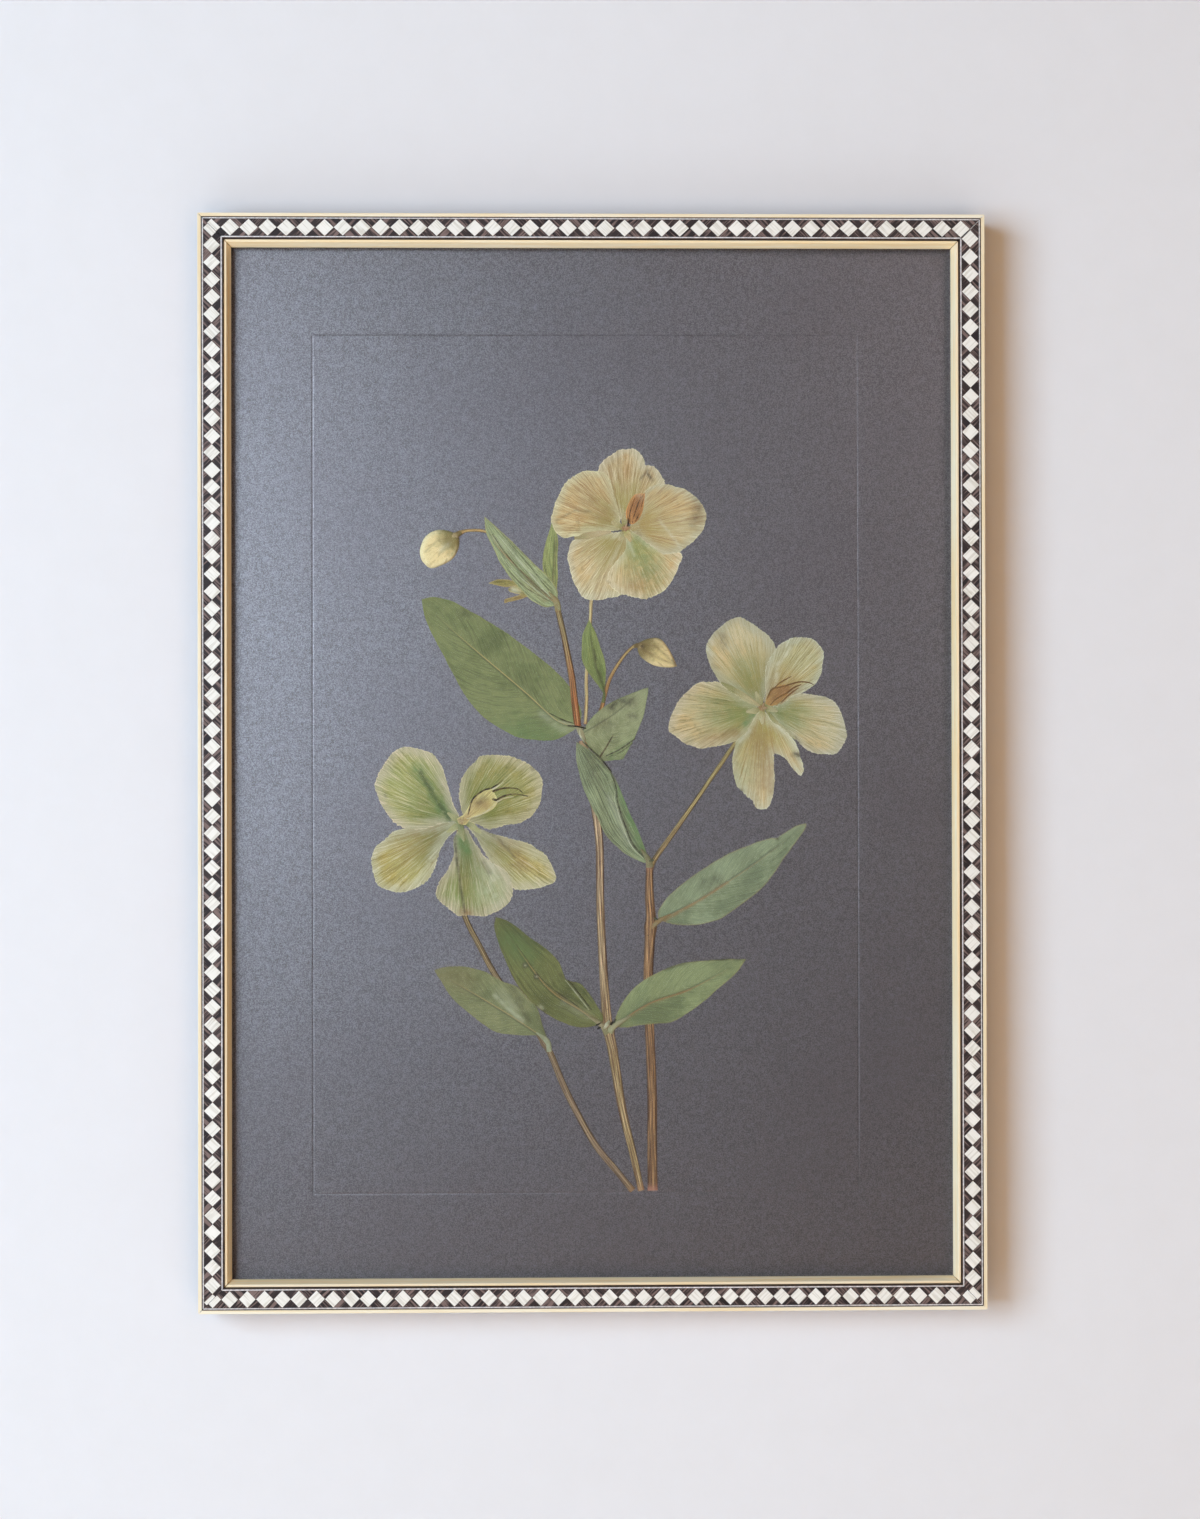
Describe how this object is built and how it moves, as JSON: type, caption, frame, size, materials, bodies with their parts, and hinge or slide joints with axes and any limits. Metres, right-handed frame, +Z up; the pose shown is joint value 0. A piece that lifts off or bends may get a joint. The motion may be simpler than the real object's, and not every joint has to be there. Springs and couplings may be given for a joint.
{
  "type": "pressed flower frame",
  "caption": "Wall frame with mitred dark rails, a diamond bone inlay and a cream slip, holding a pressed flowering plant on slate-grey paper under glass, with a notched hanger behind.",
  "frame": {"origin": "the middle notch of the hanger, in the plane of the wall that the rails' backs touch", "axes": "+Z up the frame, +Y out of its back into the wall, so the picture faces -Y, +X to the viewer's right"},
  "size_m": [0.313, 0.022, 0.436],
  "materials": {
    "rail_wood": "satin varnish",
    "inlay": "bone and dark wood, polished flush",
    "slip_wood": "cream paint, satin",
    "clear_glass": "clear, low reflection",
    "spacer_board": "matt",
    "mount_paper": "matt, fine grain",
    "hardboard": "matt, unfinished",
    "steel": "bright zinc",
    "hanger_metal": "brassed, satin",
    "stem": "dry, matt",
    "leaf": "dry, matt",
    "bud": "dry, matt",
    "petal": "dry, thin, matt",
    "heart": "dry, matt"
  },
  "bodies": {
    "root": {"bottom_rail": "rail_wood", "left_rail": "rail_wood", "top_rail": "rail_wood", "right_rail": "rail_wood", "bottom_inlay_band": "inlay", "left_inlay_band": "inlay", "top_inlay_band": "inlay", "right_inlay_band": "inlay", "bottom_slip": "slip_wood", "left_slip": "slip_wood", "top_slip": "slip_wood", "right_slip": "slip_wood", "glass": "clear_glass", "spacer": "spacer_board", "mount_sheet": "mount_paper", "backing_board": "hardboard", "lower_left_point": "steel", "lower_right_point": "steel", "upper_left_point": "steel", "upper_right_point": "steel", "hanger": "hanger_metal", "left_stem": "stem", "middle_stem": "stem", "upper_stem": "stem", "right_stem": "stem", "top_flower_stalk": "stem", "right_flower_stalk": "stem", "left_bud_stalk": "stem", "right_bud_stalk": "stem", "big_leaf": "leaf", "narrow_bract": "leaf", "right_leaf": "leaf", "side_shoot": "leaf", "broad_bract": "leaf", "small_leaf": "leaf", "hanging_leaf": "leaf", "left_stem_leaf": "leaf", "lower_right_leaf": "leaf", "dark_leaf": "leaf", "pale_leaf": "leaf", "left_bud": "bud", "right_bud": "bud", "top_flower_upper_petal": "petal", "top_flower_lower_left_petal": "petal", "top_flower_left_petal": "petal", "top_flower_lower_right_petal": "petal", "top_flower_right_petal": "petal", "top_flower_heart": "heart", "right_flower_upper_left_petal": "petal", "right_flower_left_petal": "petal", "right_flower_upper_right_petal": "petal", "right_flower_right_petal": "petal", "right_flower_lower_petal": "petal", "right_flower_heart": "heart", "left_flower_lower_left_petal": "petal", "left_flower_upper_left_petal": "petal", "left_flower_lower_right_petal": "petal", "left_flower_lower_petal": "petal", "left_flower_upper_right_petal": "petal", "left_flower_heart": "heart"}
  },
  "joints": []
}
